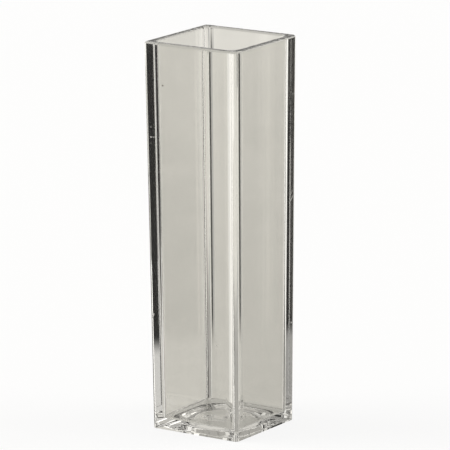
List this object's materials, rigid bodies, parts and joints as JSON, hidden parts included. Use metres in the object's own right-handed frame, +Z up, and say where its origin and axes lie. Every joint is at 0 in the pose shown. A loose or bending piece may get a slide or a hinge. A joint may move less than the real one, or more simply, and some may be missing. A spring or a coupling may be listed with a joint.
{
  "type": "cuvette",
  "caption": "Square clear plastic cuvette, open at the top, with slightly tapering walls, a rounded rim and a round recess in its foot.",
  "frame": {"origin": "centre of the square foot, on the plane it stands on", "axes": "+Z up from the foot to the open mouth, X and Y square to the four walls"},
  "size_m": [0.0124, 0.0124, 0.045],
  "materials": {
    "clear_plastic": "clear and smooth, with a faint warm grey tint"
  },
  "bodies": {
    "root": {"cuvette": "clear_plastic"}
  },
  "joints": []
}
